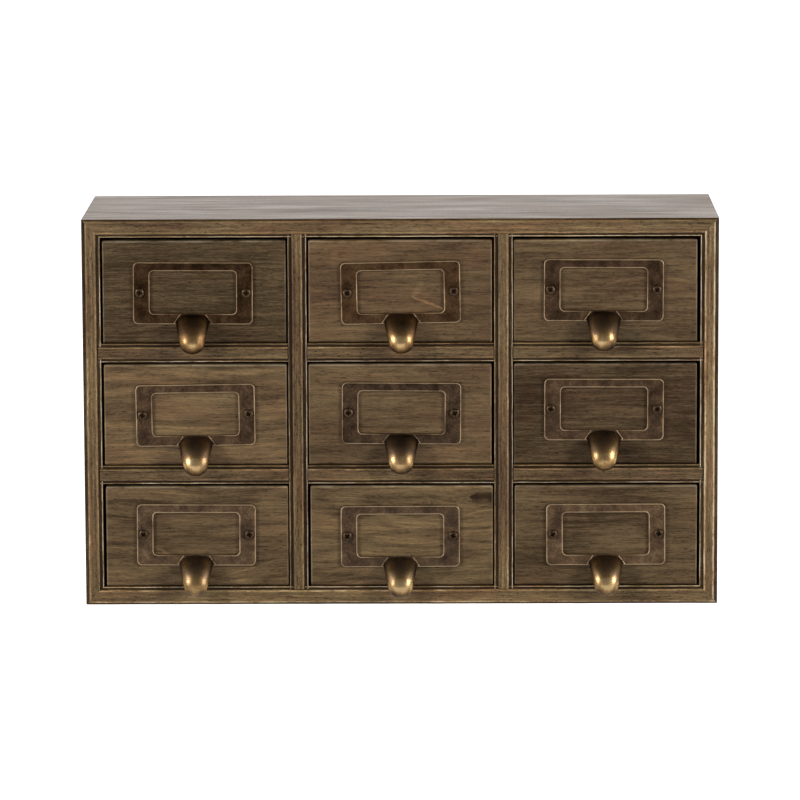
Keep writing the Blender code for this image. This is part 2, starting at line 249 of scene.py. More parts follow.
def case_wood(name, levels, thickness, tone, worn_and_lit, chatter, seed):
    """Stained board: levels is the brightness across its moulded front edge, from the outer side inwards.

    worn scales the bright levels, which hold wear and painted highlights, and chatter the fine marks across
    the grain.
    """
    g = MaterialGraph(name)
    grain = g.attribute("grain")
    _, across, _ = g.split(grain)
    front = g.number("front")
    streaks, bands, pores = fibre(g, grain)
    blotch = g.noise(grain, (12, 70, 70), offset=(seed, 0, 0))
    value = g.add_up(-0.55, (streaks, 1.10), (bands, 0.62), (blotch, 0.42))
    value = g.add(value, -0.05 + tone)
    pore = g.fade(pores, 0.55, 0.68, 0.0, 0.22)
    value = g.subtract(value, pore)
    # Across the moulding: shoulders lighter with wear and painted highlights, sunk strips darker with dirt
    # and painted shade. It comes and goes along the board.
    wander = g.noise(grain, (70, 200, 200), detail=3, rough=0.6)
    place = g.scale_add(wander, 0.6 * MM, g.add(across, -0.3 * MM))
    place = g.math("DIVIDE", place, thickness, clamp=True)
    level = g.subtract(g.curve(place, [(at / thickness, bright) for at, bright in levels]), 0.5)
    comes = g.remap(g.noise(grain, (50, 30, 30), detail=4, rough=0.75), 0.33, 0.67, 0.35, 1.25)
    brighter = g.multiply(g.math("MAXIMUM", level, 0.0), comes)
    brighter = g.multiply(brighter, worn_and_lit)
    darker = g.math("MINIMUM", level, 0.0)
    level = g.multiply(g.add(brighter, darker), front)
    value = g.add(value, level)
    ticks = g.noise(grain, (1150, 420, 420), rough=0.6)
    ticks = g.multiply(g.subtract(ticks, 0.5), chatter)
    value = g.scale_add(ticks, front, value)
    colour = g.ramp(value, WOOD_STOPS)
    hue = g.noise(grain, (22, 160, 160), offset=(0, seed, 0))
    colour = g.mix(g.remap(hue, 0.40, 0.66, 0.0, 0.45), colour, srgb(146, 98, 64), "SOFT_LIGHT")
    # the brightest shoulders and arrises turn pale grey: wear, and a painted sheen
    colour = g.mix(g.remap(brighter, 0.26, 0.42, 0.0, 0.50), colour, srgb(176, 168, 156))
    height = g.scale_add(streaks, 0.6, g.multiply(pore, -4.0))
    # The broad faces are waxed unevenly, which shows as long streaks where they catch the light.
    wax = g.noise(grain, (11, 120, 95), detail=4, rough=0.6)
    rough = g.remap(wax, 0.35, 0.65, 0.30, 0.46)
    rough = g.scale_add(front, 0.12, rough)
    return g.close(colour, rough, g.bump(height, 0.35, 0.10 * MM), wood_gloss(g, value))


def stroke(g, x, z, mark):
    """A stroke from (x, z) to (x, z), thinning to both ends, with its half width in mm and its strength."""
    start_x, start_z, end_x, end_z, half, strength = mark
    run_x, run_z = (end_x - start_x) * MM, (end_z - start_z) * MM
    length = math.hypot(run_x, run_z)
    from_x = g.subtract(x, start_x * MM)
    from_z = g.subtract(z, start_z * MM)
    along = g.scale_add(from_x, run_x, g.multiply(from_z, run_z))
    along = g.math("DIVIDE", along, length * length, clamp=True)
    off_x = g.scale_add(along, -run_x, from_x)
    off_z = g.scale_add(along, -run_z, from_z)
    off = g.math("SQRT", g.scale_add(off_x, off_x, g.multiply(off_z, off_z)))
    both = g.multiply(along, g.subtract(1.0, along))
    thin = g.math("SQRT", g.scale_add(both, 3.8, 0.05))
    return g.fade(g.math("DIVIDE", off, thin), half * 0.3 * MM, half * 1.3 * MM, strength, 0.0)


def bent_grain(g, grain, x, z, look):
    """The grain bent round its knots and drifting slowly up and down, and each knot's square distance."""
    drift = g.noise(grain, (14, 20, 20), detail=1)
    bend = g.scale_add(drift, 5.0 * MM * look["drift"], -2.5 * MM * look["drift"])
    knots = []
    for knot_x, knot_z, size in look["knots"]:
        away_x = g.math("DIVIDE", g.subtract(x, knot_x * MM), size * 2.4 * MM)
        away_z = g.math("DIVIDE", g.subtract(z, knot_z * MM), size * MM)
        square = g.scale_add(away_x, away_x, g.multiply(away_z, away_z))
        knots.append(square)
        push = g.math("DIVIDE", away_z, g.add(square, 0.5))
        bend = g.scale_add(push, -size * 0.8 * MM, bend)
    along, across, depth = g.split(grain)
    return g.join(along, g.add(across, bend), depth), knots


def front_wear(g, grain, x, z, half_wide, half_high):
    """Rubbed edges with a painted highlight, lightest along the top, and painted shade along the bottom."""
    from_top = g.subtract(half_high, z)
    from_side = g.subtract(half_wide, g.math("ABSOLUTE", x))
    from_bottom = g.add(z, half_high)
    # painted highlight: the top edge is lighter than the sides
    top = g.fade(from_top, 0.3 * MM, 1.5 * MM, 1.0, 0.0)
    side = g.fade(from_side, 0.2 * MM, 1.2 * MM, 0.75, 0.0)
    patchy = g.remap(g.noise(grain, (60, 60, 60), detail=3, rough=0.7), 0.36, 0.58, 0.1, 1.0)
    rubbed_and_lit = g.multiply(g.math("MAXIMUM", top, side), patchy)
    # painted shade along the bottom edge
    painted_shade = g.fade(from_bottom, 0.2 * MM, 1.6 * MM, -0.22, 0.0)
    return rubbed_and_lit, painted_shade


def front_wood(name, look, half_wide, half_high):
    """A drawer front: fine level grain, with the figure, knots and streaks that the look asks for."""
    g = MaterialGraph(name)
    grain = g.attribute("grain")
    x, _, z = g.split(g.attribute("place"))
    bent, knots = bent_grain(g, grain, x, z, look)
    streaks, bands, pores = fibre(g, bent)
    # Growth rings cut at a shallow angle: contour lines of a slow noise, which close on themselves.
    field = g.noise(bent, (8, 46, 46), rough=0.4)
    rings = g.math("SINE", g.multiply(field, math.tau * look["rings"]))
    rings = g.math("POWER", g.scale_add(rings, 0.5, 0.5), 1.6)
    blotch = g.noise(grain, (14, 30, 30))
    value = g.add_up(-0.54, (streaks, 1.08), (bands, 0.45), (blotch, 0.35), (rings, -look["figure"]))
    value = g.add(value, 0.10 + look["figure"] * 0.4 + look["tone"])
    # Marks that cross the grain: tapered strokes, lighter or darker.
    shake = g.noise(grain, (90, 90, 90))
    shaken = g.scale_add(shake, 3.0 * MM, g.add(z, -1.5 * MM))
    for mark in look["marks"]:
        value = g.add(value, stroke(g, x, shaken, mark))
    for square in knots:
        dark = g.fade(square, 0.0, 1.3, -look["knot_dark"], 0.0)
        value = g.add(value, dark)
    pore = g.fade(pores, 0.55, 0.68, 0.0, 0.15)
    value = g.subtract(value, pore)
    rubbed_and_lit, painted_shade = front_wear(g, grain, x, z, half_wide, half_high)
    # The rubbed edges carry a painted highlight along the top, and painted shade darkens the bottom edge.
    value = g.add(g.scale_add(rubbed_and_lit, 0.34, value), painted_shade)
    colour = g.ramp(value, WOOD_STOPS)
    hue = g.noise(grain, (20, 60, 60))
    warm = g.remap(hue, 0.35, 0.65, max(0.0, look["warm"] - 0.2), look["warm"] + 0.2)
    colour = g.mix(warm, colour, srgb(146, 104, 66), "SOFT_LIGHT")
    colour = g.mix(g.multiply(rubbed_and_lit, 0.5), colour, srgb(120, 114, 100))
    height = g.scale_add(streaks, 0.5, g.multiply(pore, -4.0))
    rough = g.remap(streaks, 0.3, 0.7, 0.54, 0.44)
    return g.close(colour, rough, g.bump(height, 0.30, 0.10 * MM), wood_gloss(g, value))


def plain_wood(name, stops, seed):
    """Unstained boards for the inside of the drawers."""
    g = MaterialGraph(name)
    grain = g.vector_math("ADD", g.attribute("grain"), (seed, seed, 0))
    streaks, bands, pores = fibre(g, grain)
    rings = g.noise(grain, (6, 150, 150))
    value = g.add_up(-0.05, (streaks, 0.35), (bands, 0.35), (rings, 0.35))
    pore = g.fade(pores, 0.58, 0.72, 0.0, 0.2)
    value = g.subtract(value, pore)
    height = g.scale_add(streaks, 0.5, g.multiply(pore, -3.0))
    return g.close(g.ramp(value, stops), 0.62, g.bump(height, 0.35, 0.1 * MM), IOR=1.45)


# ---------------- metal
BRASS_STOPS = (
    (0.00, srgb(36, 27, 18)),
    (0.23, srgb(77, 62, 50)),
    (0.48, srgb(112, 90, 66)),
    (0.75, srgb(160, 129, 86)),
    (1.00, srgb(206, 176, 128)),
)
BRONZE_STOPS = ((0.0, srgb(28, 19, 12)), (0.3, srgb(104, 84, 64)), (1.0, srgb(174, 148, 112)))


def antique_brass(name):
    """Dark brown bronze on the flats, rubbed through to brass where the rub attribute says so. That attribute
    also
    holds painted light: a painted reflection and painted shade on the pull, and painted light on the level
    rims.

    edge is 1 on the frame, whose rubbed rims are scuffed dull, and 0 on the pull. tone and warm differ from
    frame to frame.
    """
    g = MaterialGraph(name)
    place = g.attribute("place")
    patches = g.noise(place, (120, 120, 120), detail=5, rough=0.7)
    fine = g.noise(place, (1300, 1300, 1300))
    wander = g.remap(g.noise(place, (60, 60, 60)), 0.35, 0.65, 0.6, 1.15)
    # wear and painted light together, read from the rub attribute
    worn_and_lit = g.scale_add(patches, 0.75, g.scale_add(g.number("rub_and_light"), wander, -0.315))
    worn_and_lit = g.scale_add(fine, 0.35, g.add(worn_and_lit, g.number("tone")))
    colour = g.ramp(worn_and_lit, BRASS_STOPS)
    warm = g.multiply(g.number("warm"), g.remap(worn_and_lit, 0.35, 0.80, 1.0, 0.15))
    colour = g.mix(warm, colour, (1.0, 0.86, 0.66, 1.0), "MULTIPLY")
    scuffed = g.multiply(g.number("edge"), g.remap(worn_and_lit, 0.35, 0.75, 0.0, 0.65))
    colour = g.mix(scuffed, colour, srgb(148, 132, 112))
    rough = g.remap(worn_and_lit, 0.1, 0.8, 0.55, 0.26)
    rough = g.scale_add(g.number("edge"), 0.28, rough)
    height = g.scale_add(fine, 0.5, patches)
    return g.close(colour, rough, g.bump(height, 0.12, 0.08 * MM), Metallic=1.0)


def screw_bronze(name):
    """Dark plating, darker or brighter where the rub attribute says so, with painted shade in the slots."""
    g = MaterialGraph(name)
    fine = g.noise(g.attribute("place"), (900, 900, 900), detail=3)
    worn_and_lit = g.scale_add(fine, 0.3, g.add(g.number("rub_and_light"), -0.05))
    return g.close(g.ramp(worn_and_lit, BRONZE_STOPS), 0.42, g.bump(fine, 0.15, 0.05 * MM), Metallic=1.0)


# ---------------- meshes
def add_attribute(mesh, name, values):
    values = np.asarray(values, np.float32)
    kind = "FLOAT_VECTOR" if values.ndim == 2 else "FLOAT"
    made = mesh.attributes.new(name, kind, "POINT")
    made.data.foreach_set("vector" if values.ndim == 2 else "value", values.ravel())


def read_points(mesh):
    points = np.empty(len(mesh.vertices) * 3, np.float32)
    mesh.vertices.foreach_get("co", points)
    return points.reshape(-1, 3)


def mesh_from(work, name):
    """The bmesh as a mesh. The bmesh is freed."""
    mesh = bpy.data.meshes.new(name)
    work.to_mesh(mesh)
    work.free()
    return mesh


def new_object(name, mesh, material):
    obj = bpy.data.objects.new(name, mesh)
    bpy.context.scene.collection.objects.link(obj)
    if material is not None:
        mesh.materials.clear()
        mesh.materials.append(material)
    return obj


def smooth_by_angle(obj, degrees=40):
    mesh = obj.data
    mesh.shade_smooth()
    mesh.set_sharp_from_angle(angle=math.radians(degrees))
    normals = obj.modifiers.new("normals", "WEIGHTED_NORMAL")
    normals.keep_sharp = True
    normals.weight = 80


def ring_mesh(name, rings, capped=True):
    """A skin over rings of points: rings is an array (ring, point, 3). Each ring is closed."""
    count, size, _ = rings.shape
    faces = []
    for ring in range(count - 1):
        for point in range(size):
            after = (point + 1) % size
            low = ring * size
            faces.append((low + point, low + after, low + size + after, low + size + point))
    if capped:
        faces.append(tuple(range(size - 1, -1, -1)))
        faces.append(tuple((count - 1) * size + i for i in range(size)))
    mesh = bpy.data.meshes.new(name)
    mesh.from_pydata(rings.reshape(-1, 3).tolist(), [], faces)
    mesh.update()
    return mesh


def face_out(mesh):
    """Turns the faces of a closed mesh outwards, if its signed volume says that they point in."""
    work = bmesh.new()
    work.from_mesh(mesh)
    volume = work.calc_volume(signed=True)
    work.free()
    if volume <= 0:
        mesh.flip_normals()


def arc(centre, radius, start, end, steps):
    """Points on an arc, its angles in degrees."""
    turns = np.radians(np.linspace(start, end, steps + 1))
    return [(centre[0] + radius * math.cos(t), centre[1] + radius * math.sin(t)) for t in turns]


def edge_moulding(thickness, outer, inner):
    """The front edge in section, as (across, depth from the front).

    Rounded arrises, a sunk strip along each side (outer and inner are their widths), and a raised flat.
    """
    arris = 0.45 * MM
    shoulder = 0.5 * MM
    dip = 0.10 * MM  # the strip and the flat are hollow by this much

    def half(strip):
        points = arc((arris, SUNK_DEEP + arris), arris, 180, 270, 3)
        points += [(strip - 0.75 * MM, SUNK_DEEP + dip), (strip - 0.35 * MM, SUNK_DEEP)]
        points += arc((strip + shoulder * 0.6, shoulder), shoulder, 190, 270, 4)
        return points + [(strip + 1.5 * MM, dip)]

    other = [(thickness - a, d) for a, d in reversed(half(inner))]
    return half(outer) + other


def drawer_arris(thickness):
    """Levels of the side facing a drawer: painted shade and dirt in the strip, a rubbed arris with a painted
    highlight.
    """
    return [
        (thickness - 0.95 * MM, 0.10), (thickness - 0.70 * MM, 0.50), (thickness - 0.42 * MM, 1.0),
        (thickness - 0.15 * MM, 0.42), (thickness, 0.35),
    ]


def edge_levels(thickness, outer, inner, shoulders):
    """Brightness across a front edge, 0.5 being the plain wood, as (across, level) points."""
    low, high = shoulders
    far = thickness - inner
    return [
        (0.0, 0.42), (0.35 * MM, 0.30), (outer - 0.9 * MM, 0.24), (outer - 0.25 * MM, 0.45),
        (outer + 0.25 * MM, low), (outer + 1.0 * MM, 0.40 + low * 0.2), (outer + 1.9 * MM, 0.47),
        (thickness / 2, 0.55), (far - 1.9 * MM, 0.46), (far - 1.1 * MM, 0.40 + high * 0.2),
        (far - 0.35 * MM, high), (far + 0.25 * MM, 0.40), (far + 0.75 * MM, 0.10), *drawer_arris(thickness),
    ]


def divider_levels(thickness, strip, _, shoulders):
    """The same for a board whose two sides both face drawers, and whose two strips are alike."""
    low, high = shoulders
    far = thickness - strip
    return [
        (0.0, 0.35), (0.15 * MM, 0.42), (0.42 * MM, 0.82), (0.70 * MM, 0.45), (0.95 * MM, 0.10),
        (strip - 0.6 * MM, 0.10), (strip - 0.15 * MM, 0.40), (strip + 0.4 * MM, low),
        (strip + 1.2 * MM, 0.48), (thickness / 2, 0.53), (far - 1.4 * MM, 0.48), (far - 0.45 * MM, high),
        (far + 0.15 * MM, 0.40), (far + 0.6 * MM, 0.10), *drawer_arris(thickness),
    ]


def rear_inset(depth):
    """How far the case's outer faces turn in at the rounded rear edges."""
    past = min(REAR_ROUND, max(0.0, depth - (BACK_Y - REAR_ROUND)))
    return REAR_ROUND - math.sqrt(REAR_ROUND**2 - past**2)


def board_outline(thickness, rear_y, rabbet, outer, inner):
    """The whole section as (across, depth in Y), going round from the outer front corner."""
    front = [(a, FRONT_Y + d) for a, d in edge_moulding(thickness, outer, inner)]
    soft = 0.4 * MM
    if rabbet:
        back = [(thickness, DIVIDER_REAR_Y), (RABBET, DIVIDER_REAR_Y)]
        back += [(RABBET, rear_y - soft), (RABBET - soft, rear_y)]
        back += arc((REAR_ROUND, rear_y - REAR_ROUND), REAR_ROUND, 90, 180, 5)
    else:
        back = [(thickness, rear_y), (0.0, rear_y)]
    return front + back, len(front)


# Thickness, rear end, and whether the board is mitred and rabbeted and shows its outer side to the room
OUTER_BOARD = (BOARD, BACK_Y, True)
INNER_BOARD = (DIVIDER, DIVIDER_REAR_Y, False)
RING_STEP = 4.0 * MM  # between the rings of points along a board
FEWEST_RINGS = 24
WAVER = 0.14 * MM  # how far a hand-planed edge strays from its line
GRAIN_SHIFT = 1.37  # from one board's stretch of grain to the next board's


def make_board(name, kind, length, strips, place, lay, seed):
    """A moulded board. lay turns (across, depth, along) into the row frame, and place moves it there."""
    thickness, rear_y, mitred = kind
    outline, fronts = board_outline(thickness, rear_y, mitred, *strips)
    steps = max(FEWEST_RINGS, int(length / RING_STEP))
    rings = np.zeros((steps + 1, len(outline), 3))
    grain = np.zeros_like(rings)
    front = np.zeros(rings.shape[:2])
    for step in range(steps + 1):
        share = step / steps - 0.5
        for index, (across, depth) in enumerate(outline):
            half = length / 2
            if mitred:
                half -= max(across, rear_inset(depth))
            along = share * 2 * half
            wave = 0.0
            if index < fronts:
                spot = Vector((along * 90 + seed * 7.3, across * 300, 1.7))
                wave = noise.noise(spot) * WAVER
                front[step, index] = 1.0
            # The very front strays inwards only, so that nothing stands proud of it.
            wave_in = abs(wave) if depth < FRONT_Y + 0.3 * MM else wave * 0.5
            wave_across = wave if 0 < index < fronts - 1 else 0.0
            rings[step, index] = (across + wave_across, depth + wave_in, along)
            grain[step, index] = (along + seed * GRAIN_SHIFT, across, depth)
    # The last front point of each side sits on the board's own face, where the front's look ends.
    front[:, 0] = 0.0
    front[:, fronts - 1] = 0.0
    mesh = ring_mesh(name, rings)
    add_attribute(mesh, "grain", grain.reshape(-1, 3))
    add_attribute(mesh, "front", front.ravel())
    mesh.transform(Matrix.Translation(place) @ lay.to_4x4())
    face_out(mesh)
    return mesh


# (across, depth, along) to the row frame: across runs from the outer face inwards.
LAY_BOTTOM = Matrix(((0, 0, 1), (0, 1, 0), (1, 0, 0)))
LAY_TOP = Matrix(((0, 0, 1), (0, 1, 0), (-1, 0, 0)))
LAY_LEFT = Matrix(((1, 0, 0), (0, 1, 0), (0, 0, 1)))
LAY_RIGHT = Matrix(((-1, 0, 0), (0, 1, 0), (0, 0, 1)))


def plank_mesh(name, low, high, along, soften, segments=2, seed=0.0):
    """A board with softened edges. along is the axis that its grain runs on: 0, 1 or 2."""
    low, high = Vector(low), Vector(high)
    work = bmesh.new()
    place = Matrix.Translation((low + high) / 2) @ Matrix.Diagonal((*(high - low), 1.0))
    bmesh.ops.create_cube(work, size=1.0, matrix=place)
    bmesh.ops.bevel(work, geom=work.edges[:], offset=soften, segments=segments, profile=0.5, affect="EDGES")
    mesh = mesh_from(work, name)
    points = read_points(mesh)
    order = [along, *[axis for axis in (2, 0, 1) if axis != along]]
    add_attribute(mesh, "grain", points[:, order] + np.array([seed * GRAIN_SHIFT, seed * 0.31, 0.0]))
    add_attribute(mesh, "place", points)
    return mesh


# ---------------- case
# How each board's wood looks: the levels of its two shoulders, worn and with painted highlights, its tone,
# its wear and painted light, and its chatter marks.
CASE_LOOKS = {
    "bottom_board": ((0.85, 0.80), 0.04, 1.0, 0.15),
    "top_board": ((0.62, 0.72), 0.0, 0.9, 0.10),
    "left_side": ((0.82, 0.74), -0.03, 0.9, 0.34),
    "right_side": ((0.96, 0.88), 0.02, 1.05, 0.32),
    "left_partition": ((0.62, 0.78), -0.07, 1.0, 0.40),
    "right_partition": ((0.62, 0.78), -0.05, 1.0, 0.40),
    "shelf": ((0.82, 0.66), -0.08, 0.9, 0.12),
}


def show_board(node, mesh, material):
    board = new_object(f"{node}_shown", mesh, material)
    smooth_by_angle(board, 50)
    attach(board, "case")
    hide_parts(node)


def add_board(node, look, kind, length, strips, place, lay, seed):
    shoulders, tone, worn_and_lit, chatter = CASE_LOOKS[look]
    thickness, _, outer = kind
    levels = (edge_levels if outer else divider_levels)(thickness, *strips, shoulders)
    material = case_wood(f"{node}_wood", levels, thickness, tone, worn_and_lit, chatter, seed)
    show_board(node, make_board(node, kind, length, strips, place, lay, seed), material)


def add_case():
    level = (LEVEL_OUTER, LEVEL_STRIP)
    upright = (UPRIGHT_OUTER, UPRIGHT_STRIP)
    outer = {
        "bottom_board": (WIDTH, level, (0, 0, 0), LAY_BOTTOM),
        "top_board": (WIDTH, level, (0, 0, HEIGHT), LAY_TOP),
        "left_side": (HEIGHT, upright, (LEFT_LOW.x, 0, HEIGHT / 2), LAY_LEFT),
        "right_side": (HEIGHT, upright, (RIGHT_HIGH.x, 0, HEIGHT / 2), LAY_RIGHT),
    }
    for seed, (node, (length, strips, place, lay)) in enumerate(outer.items(), start=1):
        add_board(node, node, OUTER_BOARD, length, strips, place, lay, seed)
    strips = (UPRIGHT_STRIP, UPRIGHT_STRIP)
    for seed, node in enumerate(("left_partition", "right_partition"), start=10):
        low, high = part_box(node)
        place = (low.x, 0, (low.z + high.z) / 2)
        add_board(node, node, INNER_BOARD, high.z - low.z, strips, place, LAY_LEFT, seed)
    strips = (LEVEL_STRIP, LEVEL_STRIP)
    shelves = [f"{column}_{level}_shelf" for column in COLUMNS for level in ("lower", "upper")]
    for seed, node in enumerate(shelves, start=20):
        low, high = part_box(node)
        place = ((low.x + high.x) / 2, 0, high.z)
        add_board(node, "shelf", INNER_BOARD, high.x - low.x, strips, place, LAY_TOP, seed)
    add_back_panel(seed=31)


def add_back_panel(seed):
    """A plain plank: it has no moulded edge, so its levels are flat."""
    panel = plank_mesh("back_panel", PANEL_LOW, PANEL_HIGH, 0, 0.3 * MM, seed=seed)
    add_attribute(panel, "front", np.zeros(len(panel.vertices)))
    levels = [(0.0, 0.5), (BOARD, 0.5)]
    tone, worn_and_lit, chatter = 0.05, 1.0, 0.25
    show_board("back_panel", panel, case_wood("back_panel_wood", levels, BOARD, tone, worn_and_lit, chatter, seed))


# ---------------- drawer fronts
# How each front differs. Knots are (x, z, size) and marks (x, z, x, z, half width, strength), in mm from
# the front's centre.
PLAIN = {"warm": 0.15, "figure": 0.05, "rings": 4, "drift": 0.5, "knots": (), "marks": ()}
LOOKS = {
    "top_left": {"tone": -0.26, "warm": 0.15},
    "top_middle": {
        "tone": -0.08, "warm": 0.35, "figure": 0.06, "drift": 0.8,
        "marks": ((7, -3, 28, -12, 1.2, 0.25), (8, -3, 14, 6, 2.2, 0.10)),
    },
    "top_right": {
        "tone": -0.14, "warm": 0.25,
        "marks": ((-2, 2.5, 11, 7, 0.7, 0.12), (12, 7, 28, 8.5, 0.7, 0.10), (36, 9, 57, 5, 1.2, 0.08),
                  (-4, -12, 7, -9.5, 0.8, 0.08)),
    },
    "centre_left": {
        "tone": -0.02, "warm": 0.25, "figure": 0.12, "rings": 5, "drift": 1.4,
        "marks": ((-60, 22, -32, 27.5, 2.2, 0.11), (-28, 27.5, 2, 25, 2.2, 0.11), (8, 25.5, 60, 29, 2, 0.11),
                  (6, 20, 60, 24, 2.2, -0.08), (-20, 30, 30, 30, 1.5, -0.08), (38, 12, 60, 16, 4, -0.06)),
    },
    "centre_middle": {"tone": -0.09, "warm": 0.25, "figure": 0.07},
    "centre_right": {"tone": -0.26, "warm": 0.30},
    "bottom_left": {
        "tone": -0.12, "warm": 0.10, "figure": 0.12, "rings": 6, "drift": 2.0,
        "marks": ((8, -28, 40, -19, 0.8, 0.12), (40, -18, 60, -14, 0.8, 0.12), (12, -31, 60, -22, 0.9, 0.08),
                  (-28, -7, -14, -13, 0.9, 0.12), (-40, 29, 0, 26, 0.8, 0.10), (-58, 18, -10, 24, 3, -0.08)),
    },
    "bottom_middle": {
        "tone": -0.08, "warm": 0.05, "figure": 0.14, "rings": 7, "drift": 2.0,
        "knots": ((53, 24.5, 5), (16, 20, 4)), "knot_dark": 0.05,
        "marks": ((43, 25, 64, 24, 2.6, -0.20), (7, 19.4, 24, 19.2, 1.3, -0.16), (36, 12, 60, 18, 0.8, 0.12),
                  (28, 8, 60, 12, 1.0, 0.10)),
    },
    "bottom_right": {"tone": -0.16, "warm": 0.10, "figure": 0.06},
}


FRONT_SLACK = 0.5 * MM  # the fronts are planed this much shorter at the top than their boards


def add_front(place, seed):
    low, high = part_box(f"front_{place}")
    high.z -= FRONT_SLACK
    centre = (low + high) / 2
    half = (high - low) / 2
    mesh = plank_mesh(f"front_{place}", low - centre, high - centre, 0, 0.8 * MM, 3, seed)
    material = front_wood(f"front_{place}_wood", {**PLAIN, **LOOKS[place]}, half.x, half.z)
    board = new_object(f"front_{place}_shown", mesh, material)
    board.location = centre
    smooth_by_angle(board)
    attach(board, f"drawer_{place}")
    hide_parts(f"front_{place}")


# ---------------- drawer boxes
BOX_WALL = 6.0 * MM
BOX_FLOOR = 4.0 * MM
BOX_GAP = 0.1 * MM  # between the boards of a box


def add_box(place, wood, seed):
    """Two sides, a back and a floor: the sides run the whole length, and the back stands between them."""
    low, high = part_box(f"box_{place}")
    left, right = low.x + BOX_WALL, high.x - BOX_WALL
    near_back = high.y - BOX_WALL
    floor_high = (right - BOX_GAP, near_back - BOX_GAP, low.z + BOX_FLOOR)
    boards = {  # kind: low corner, high corner, the axis that the grain runs on
        "box_side_a": (low, (left, high.y, high.z), 1),
        "box_side_b": ((right, low.y, low.z), high, 1),
        "box_back": ((left + BOX_GAP, near_back, low.z), (right - BOX_GAP, high.y, high.z), 0),
        "box_floor": ((left + BOX_GAP, low.y, low.z), floor_high, 0),
    }
    for number, (kind, (near, far, along)) in enumerate(boards.items()):
        name = f"{kind}_{place}"
        mesh = plank_mesh(name, near, far, along, 0.5 * MM, 2, seed + number * 0.7)
        board = new_object(name, mesh, wood)
        smooth_by_angle(board)
        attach(board, f"drawer_{place}")
        if number == 0:
            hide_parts(f"box_{place}")


# ---------------- label frame and pull
FRAME_HALF_X = 37.75 * MM
FRAME_HALF_Z = 19.8 * MM
FRAME_CORNER = 3.4 * MM
WINDOW_HALF_X = 27.05 * MM
WINDOW_HALF_Z = 13.4 * MM
WINDOW_CORNER = 2.4 * MM
WINDOW_RISE = 0.55 * MM
SCREW_RISE = 0.3 * MM  # the screws are this far above the frame's centre
FACE_Y = -2.1 * MM  # the rims' tops, from the drawer front
FLAT_Y = -1.82 * MM

PULL_ROOT_Z = -13.0 * MM
PULL_TURN_Z = -30.7 * MM  # here the pull stands upright, and below it the lip curls under
PULL_TIP_Z = -37.1 * MM
PULL_REACH = 15.9 * MM
PULL_THICK = 1.8 * MM
BURIED_Y = -0.7 * MM  # the pull's root is sunk into the bar, to here
BACK_POWER = 1.15  # above 1, the back of the pull bulges less than an ellipse
LIP_FROM = 0.77  # the lip starts at this share of the pull's length from the root
LIP_CURL = 7.2 * MM  # the radius of the lip's curl
LIP_TURN = 62  # degrees that the lip curls under
HALF_MM = 11.3  # half the pull's width at its root
TAPER_MM = 4.0  # how much narrower that half gets towards the tip
TAPER_POWER = 0.8  # below 1, it narrows more near the root
TIP_ROUND_MM = 1.2  # what the tip's round corners take off the half
CROWN_MM = 6.0  # how deep the arched section is at the root
CROWN_LOSS_MM = 1.2  # and how much less deep at the tip
SECTION_POWER = 2 / 2.1  # below 1, the section's middle is flatter than an ellipse's
HOOD_GRID = (18, 24)  # segments across and along the pull
HOOD_TURN = 0.93  # how much of the section the shell takes up
ROW_GATHER = 1.15  # above 1, the rows gather near the tip, so that its corners stay round

# How rubbed the pull is down its middle, and how much more or less its flanks are, as (height in mm from the
# frame's centre, rub). Both hold painted light: a painted reflection of the floor low down, painted shade at
# the root and under the tip, and flanks painted darker or lighter by the way they face.
MIDDLE_RUB_AND_LIGHT = ((-38.5, -0.25), (-37.2, 0.10), (-35.5, 0.22), (-34.0, 0.42), (-32.0, 0.80), (-29.0, 0.96),
              (-25.5, 0.74), (-23.5, 0.40), (-21.5, 0.22), (-18.5, 0.0))
FLANK_LIGHT = ((-36.0, -0.20), (-33.0, -0.42), (-29.0, -0.52), (-25.0, -0.50), (-21.0, 0.15), (-17.0, 0.60))
UPRIGHT_RIM_SHADE = 0.28  # painted light: the upright rims are painted darker than the level ones by this share

# The beads beside the pull's root, from beside the window to the outer rim: (x, z) of the right one's ends
BEAD_HIGH = (8.0 * MM, -13.4 * MM)
BEAD_LOW = (12.0 * MM, -19.2 * MM)
BEAD_RADIUS = 0.38 * MM
BEAD_RINGS = 9
BEAD_SIDES = 10
BEAD_RUB = 0.45


def rounded_loop(half_x, half_z, corner, rise, y):
    """An upright rectangle with round corners, as points in order."""
    turns = 8
    points = []
    for quarter in range(4):
        side_x = 1 if quarter in (0, 3) else -1
        side_z = 1 if quarter in (0, 1) else -1
        for step in range(turns + 1):
            angle = (quarter + step / turns) * math.pi / 2
            x = side_x * (half_x - corner) + corner * math.cos(angle)
            z = side_z * (half_z - corner) + corner * math.sin(angle)
            points.append((x, y, z + rise))
    return points


